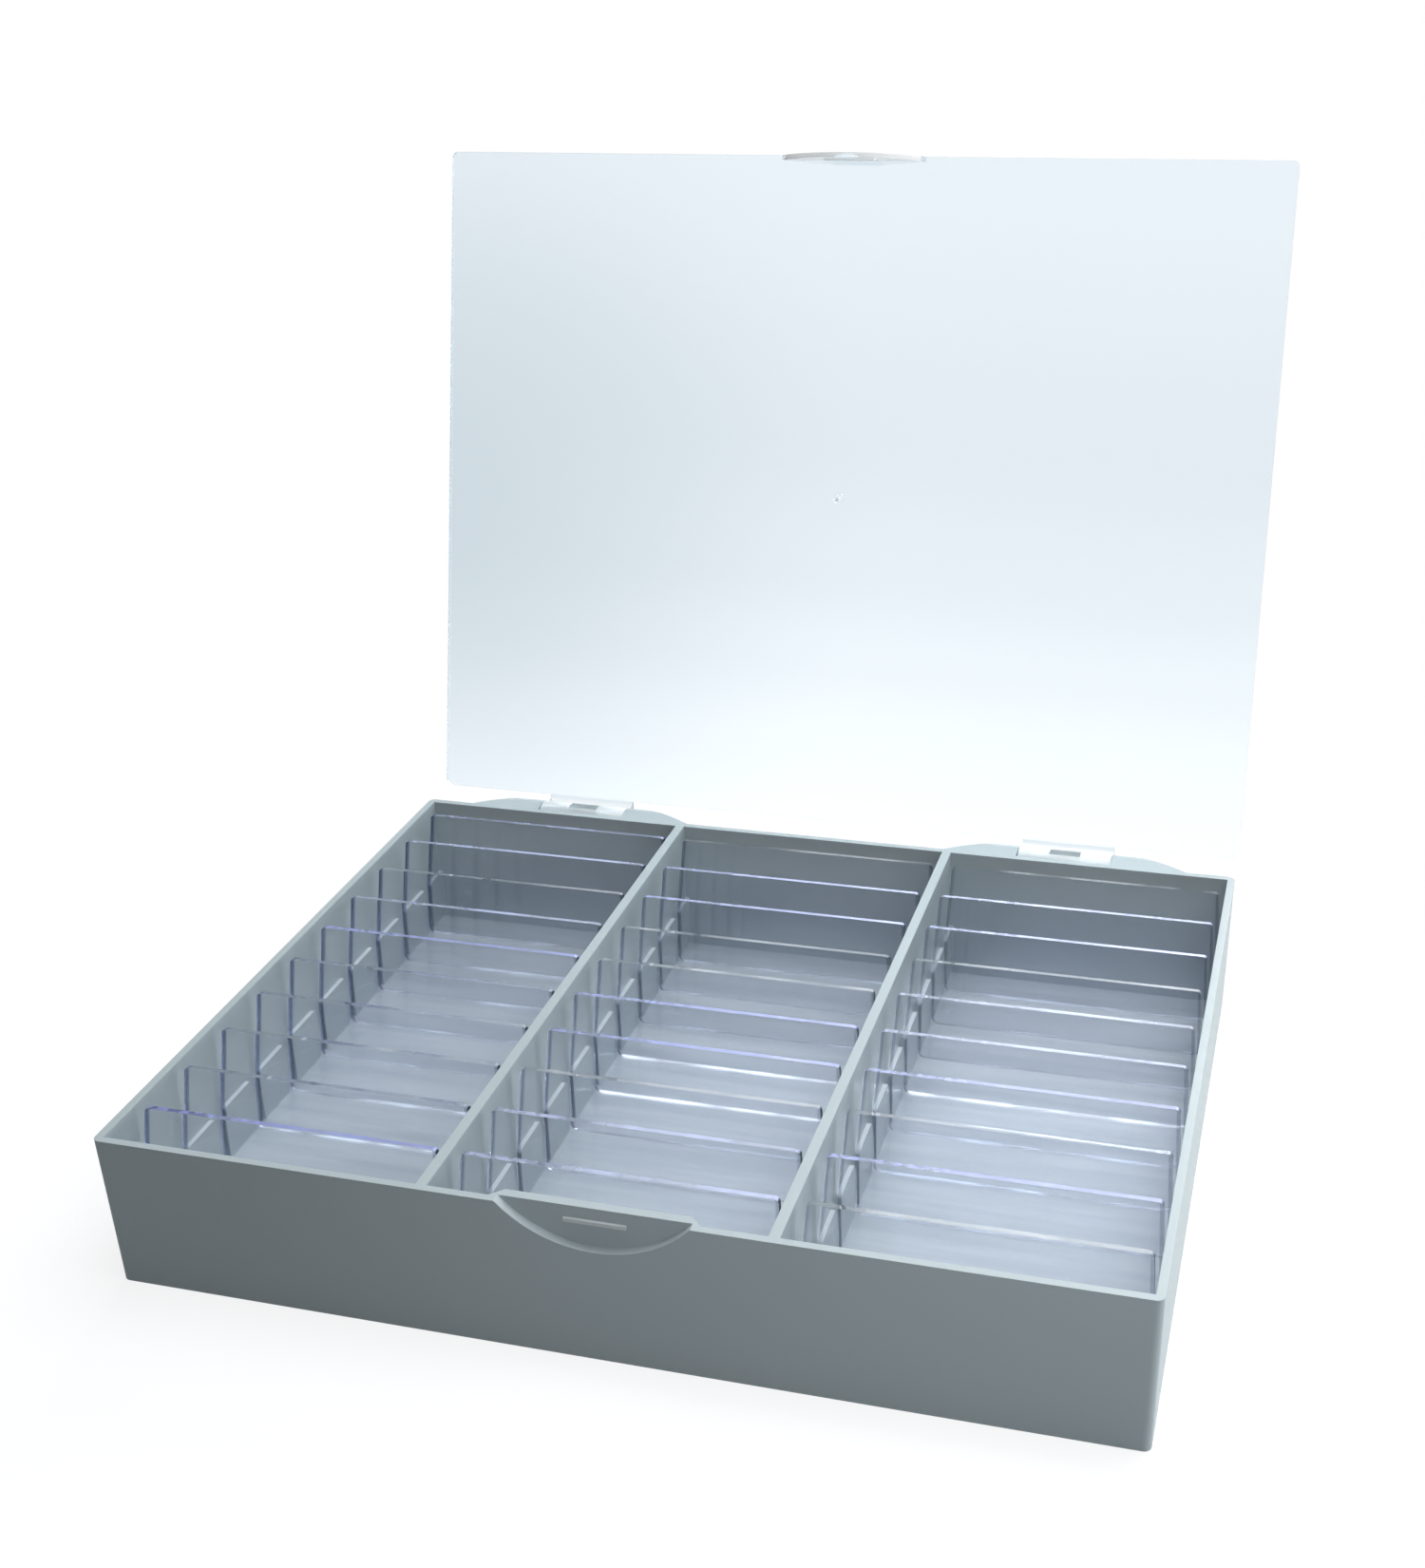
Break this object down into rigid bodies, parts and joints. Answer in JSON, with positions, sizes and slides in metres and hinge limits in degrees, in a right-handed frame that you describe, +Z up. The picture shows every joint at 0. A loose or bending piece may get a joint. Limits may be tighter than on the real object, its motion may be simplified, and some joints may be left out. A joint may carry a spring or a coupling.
{
  "type": "bobbin box",
  "caption": "Flat three-column storage tray with clear lift-out dividers leaning back in slots, and a clear hinged lid with a front latch.",
  "frame": {"origin": "centre of the tray's underside", "axes": "+X to the right across the columns, +Y from the latch to the hinge, +Z up"},
  "size_m": [0.275, 0.2835, 0.2553],
  "materials": {
    "grey_plastic": "smooth moulded opaque grey plastic with a soft sheen",
    "clear_lid": "polished clear plastic with a faint cool tint",
    "clear_divider": "polished clear plastic with a faint blue edge"
  },
  "bodies": {
    "tray": {"tray": "grey_plastic"},
    "lid": {"lid": "clear_lid"},
    "divider_left_1": {"divider_left_1": "clear_divider"},
    "divider_left_2": {"divider_left_2": "clear_divider"},
    "divider_left_3": {"divider_left_3": "clear_divider"},
    "divider_left_4": {"divider_left_4": "clear_divider"},
    "divider_left_5": {"divider_left_5": "clear_divider"},
    "divider_left_6": {"divider_left_6": "clear_divider"},
    "divider_left_7": {"divider_left_7": "clear_divider"},
    "divider_left_8": {"divider_left_8": "clear_divider"},
    "divider_left_9": {"divider_left_9": "clear_divider"},
    "divider_left_10": {"divider_left_10": "clear_divider"},
    "divider_middle_1": {"divider_middle_1": "clear_divider"},
    "divider_middle_2": {"divider_middle_2": "clear_divider"},
    "divider_middle_3": {"divider_middle_3": "clear_divider"},
    "divider_middle_4": {"divider_middle_4": "clear_divider"},
    "divider_middle_5": {"divider_middle_5": "clear_divider"},
    "divider_middle_6": {"divider_middle_6": "clear_divider"},
    "divider_middle_7": {"divider_middle_7": "clear_divider"},
    "divider_middle_8": {"divider_middle_8": "clear_divider"},
    "divider_middle_9": {"divider_middle_9": "clear_divider"},
    "divider_middle_10": {"divider_middle_10": "clear_divider"},
    "divider_right_1": {"divider_right_1": "clear_divider"},
    "divider_right_2": {"divider_right_2": "clear_divider"},
    "divider_right_3": {"divider_right_3": "clear_divider"},
    "divider_right_4": {"divider_right_4": "clear_divider"},
    "divider_right_5": {"divider_right_5": "clear_divider"},
    "divider_right_6": {"divider_right_6": "clear_divider"},
    "divider_right_7": {"divider_right_7": "clear_divider"},
    "divider_right_8": {"divider_right_8": "clear_divider"},
    "divider_right_9": {"divider_right_9": "clear_divider"},
    "divider_right_10": {"divider_right_10": "clear_divider"}
  },
  "joints": [
    {"name": "lid_hinge", "type": "hinge", "parent": "tray", "child": "lid", "pos_m": [0, 0.114, 0.0396], "axis": [-1, 0, 0], "range_deg": [-104.3, 0]},
    {"name": "lift_left_1", "type": "slide", "parent": "tray", "child": "divider_left_1", "axis": [0, 0.165, 0.9863], "range_m": [0, 0.048]},
    {"name": "lift_left_2", "type": "slide", "parent": "tray", "child": "divider_left_2", "axis": [0, 0.165, 0.9863], "range_m": [0, 0.048]},
    {"name": "lift_left_3", "type": "slide", "parent": "tray", "child": "divider_left_3", "axis": [0, 0.165, 0.9863], "range_m": [0, 0.048]},
    {"name": "lift_left_4", "type": "slide", "parent": "tray", "child": "divider_left_4", "axis": [0, 0.165, 0.9863], "range_m": [0, 0.048]},
    {"name": "lift_left_5", "type": "slide", "parent": "tray", "child": "divider_left_5", "axis": [0, 0.165, 0.9863], "range_m": [0, 0.048]},
    {"name": "lift_left_6", "type": "slide", "parent": "tray", "child": "divider_left_6", "axis": [0, 0.165, 0.9863], "range_m": [0, 0.048]},
    {"name": "lift_left_7", "type": "slide", "parent": "tray", "child": "divider_left_7", "axis": [0, 0.165, 0.9863], "range_m": [0, 0.048]},
    {"name": "lift_left_8", "type": "slide", "parent": "tray", "child": "divider_left_8", "axis": [0, 0.165, 0.9863], "range_m": [0, 0.048]},
    {"name": "lift_left_9", "type": "slide", "parent": "tray", "child": "divider_left_9", "axis": [0, 0.165, 0.9863], "range_m": [0, 0.048]},
    {"name": "lift_left_10", "type": "slide", "parent": "tray", "child": "divider_left_10", "axis": [0, 0.165, 0.9863], "range_m": [0, 0.048]},
    {"name": "lift_middle_1", "type": "slide", "parent": "tray", "child": "divider_middle_1", "axis": [0, 0.165, 0.9863], "range_m": [0, 0.048]},
    {"name": "lift_middle_2", "type": "slide", "parent": "tray", "child": "divider_middle_2", "axis": [0, 0.165, 0.9863], "range_m": [0, 0.048]},
    {"name": "lift_middle_3", "type": "slide", "parent": "tray", "child": "divider_middle_3", "axis": [0, 0.165, 0.9863], "range_m": [0, 0.048]},
    {"name": "lift_middle_4", "type": "slide", "parent": "tray", "child": "divider_middle_4", "axis": [0, 0.165, 0.9863], "range_m": [0, 0.048]},
    {"name": "lift_middle_5", "type": "slide", "parent": "tray", "child": "divider_middle_5", "axis": [0, 0.165, 0.9863], "range_m": [0, 0.048]},
    {"name": "lift_middle_6", "type": "slide", "parent": "tray", "child": "divider_middle_6", "axis": [0, 0.165, 0.9863], "range_m": [0, 0.048]},
    {"name": "lift_middle_7", "type": "slide", "parent": "tray", "child": "divider_middle_7", "axis": [0, 0.165, 0.9863], "range_m": [0, 0.048]},
    {"name": "lift_middle_8", "type": "slide", "parent": "tray", "child": "divider_middle_8", "axis": [0, 0.165, 0.9863], "range_m": [0, 0.048]},
    {"name": "lift_middle_9", "type": "slide", "parent": "tray", "child": "divider_middle_9", "axis": [0, 0.165, 0.9863], "range_m": [0, 0.048]},
    {"name": "lift_middle_10", "type": "slide", "parent": "tray", "child": "divider_middle_10", "axis": [0, 0.165, 0.9863], "range_m": [0, 0.048]},
    {"name": "lift_right_1", "type": "slide", "parent": "tray", "child": "divider_right_1", "axis": [0, 0.165, 0.9863], "range_m": [0, 0.048]},
    {"name": "lift_right_2", "type": "slide", "parent": "tray", "child": "divider_right_2", "axis": [0, 0.165, 0.9863], "range_m": [0, 0.048]},
    {"name": "lift_right_3", "type": "slide", "parent": "tray", "child": "divider_right_3", "axis": [0, 0.165, 0.9863], "range_m": [0, 0.048]},
    {"name": "lift_right_4", "type": "slide", "parent": "tray", "child": "divider_right_4", "axis": [0, 0.165, 0.9863], "range_m": [0, 0.048]},
    {"name": "lift_right_5", "type": "slide", "parent": "tray", "child": "divider_right_5", "axis": [0, 0.165, 0.9863], "range_m": [0, 0.048]},
    {"name": "lift_right_6", "type": "slide", "parent": "tray", "child": "divider_right_6", "axis": [0, 0.165, 0.9863], "range_m": [0, 0.048]},
    {"name": "lift_right_7", "type": "slide", "parent": "tray", "child": "divider_right_7", "axis": [0, 0.165, 0.9863], "range_m": [0, 0.048]},
    {"name": "lift_right_8", "type": "slide", "parent": "tray", "child": "divider_right_8", "axis": [0, 0.165, 0.9863], "range_m": [0, 0.048]},
    {"name": "lift_right_9", "type": "slide", "parent": "tray", "child": "divider_right_9", "axis": [0, 0.165, 0.9863], "range_m": [0, 0.048]},
    {"name": "lift_right_10", "type": "slide", "parent": "tray", "child": "divider_right_10", "axis": [0, 0.165, 0.9863], "range_m": [0, 0.048]}
  ]
}
